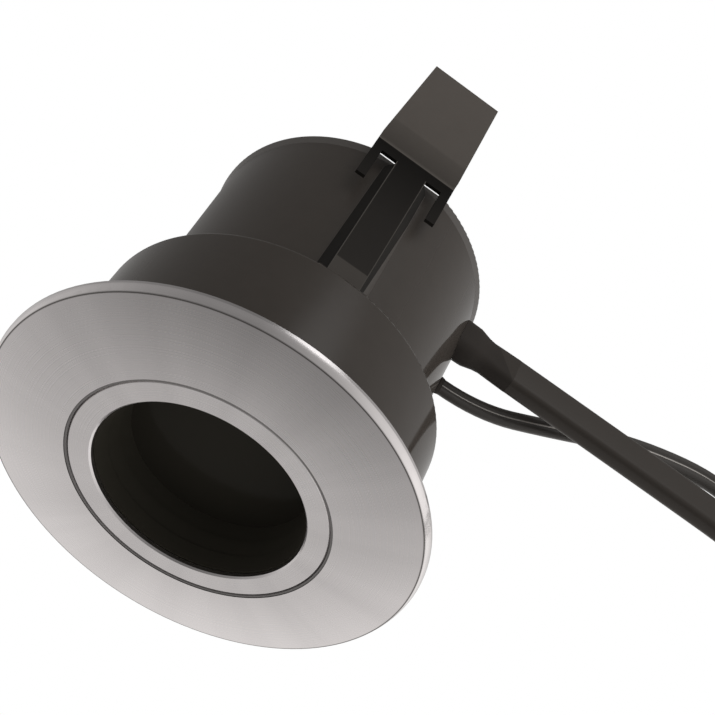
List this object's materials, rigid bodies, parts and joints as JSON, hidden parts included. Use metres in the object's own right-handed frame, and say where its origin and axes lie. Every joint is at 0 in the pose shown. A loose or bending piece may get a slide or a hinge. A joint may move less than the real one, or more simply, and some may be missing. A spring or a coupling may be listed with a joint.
{
  "type": "soffit downlight",
  "caption": "Recessed round downlight: domed steel trim ring, stepped black body with rear driver can, swinging board clips, flat supply cable and thin lead.",
  "frame": {"origin": "on the floor plane at the centre of the bezel, the lowest point being the inner edge of the bezel face (bottom centre of the box without the cords)", "axes": "+Z from the bezel up to the rear cover, along the light's axis; the two board clips stand at -Y and +Y; the cables leave the rear can towards +X"},
  "size_m": [0.278, 0.1126, 0.0919],
  "materials": {
    "steel_trim": "turned stainless steel, fine circular brushing",
    "rubber_seal": "matte black elastomer",
    "black_plastic": "matte black moulding",
    "clear_lens": "clear toughened glass",
    "reflector_finish": "bright metallised plastic",
    "board_green": "solder-masked circuit board",
    "phosphor": "yellow phosphor",
    "pad_grey": "grey thermal pad",
    "zinc_steel": "bright zinc-plated steel",
    "dark_coat": "satin warm black coating on die-cast aluminium",
    "transformer_black": "bobbin and ferrite",
    "capacitor_sleeve": "shrink sleeve",
    "terminal_grey": "grey moulding",
    "black_steel": "blackened steel",
    "dark_spring": "blackened spring steel, satin",
    "washer_nylon": "black nylon",
    "black_rubber": "satin moulded rubber",
    "cable_jacket": "satin black jacket",
    "plug_black": "black moulding",
    "core_insulation": "insulated cores"
  },
  "bodies": {
    "light": {"bezel": "steel_trim", "bezel_gasket": "rubber_seal", "baffle": "black_plastic", "lens": "clear_lens", "lens_seal": "rubber_seal", "reflector": "reflector_finish", "led_board": "board_green", "led_chip": "phosphor", "thermal_pad": "pad_grey", "led_board_screws": "zinc_steel", "front_housing": "dark_coat", "rear_housing": "dark_coat", "housing_seal": "rubber_seal", "housing_screws": "zinc_steel", "driver_board": "board_green", "driver_screws": "zinc_steel", "transformer": "transformer_black", "capacitors": "capacitor_sleeve", "terminal_block": "terminal_grey", "rear_cover": "dark_coat", "cover_seal": "rubber_seal", "cover_screws": "black_steel", "clip_pin_a": "zinc_steel", "clip_washers_a": "washer_nylon", "clip_pin_b": "zinc_steel", "clip_washers_b": "washer_nylon", "supply_boot": "black_rubber", "lead_grommet": "black_rubber", "supply_cable": "cable_jacket", "supply_coil": "cable_jacket", "supply_plug": "plug_black", "signal_lead": "cable_jacket", "signal_coil": "cable_jacket", "signal_plug": "plug_black", "supply_cores": "core_insulation", "signal_core": "core_insulation", "lamp_wires": "core_insulation"},
    "ring": {"lens_ring": "steel_trim"},
    "clip_a": {"clip_arm_a": "dark_spring"},
    "clip_b": {"clip_arm_b": "dark_spring"}
  },
  "joints": [
    {"name": "clip_a_hinge", "type": "hinge", "parent": "light", "child": "clip_a", "pos_m": [0, -0.03235, 0.0335], "axis": [1, 0, 0], "range_deg": [0, 90]},
    {"name": "clip_b_hinge", "type": "hinge", "parent": "light", "child": "clip_b", "pos_m": [0, 0.03235, 0.0335], "axis": [-1, 0, 0], "range_deg": [0, 90]},
    {"name": "ring_twist", "type": "hinge", "parent": "light", "child": "ring", "pos_m": [0, 0, 0.007], "axis": [0, 0, 1], "range_deg": [0, 30]}
  ]
}
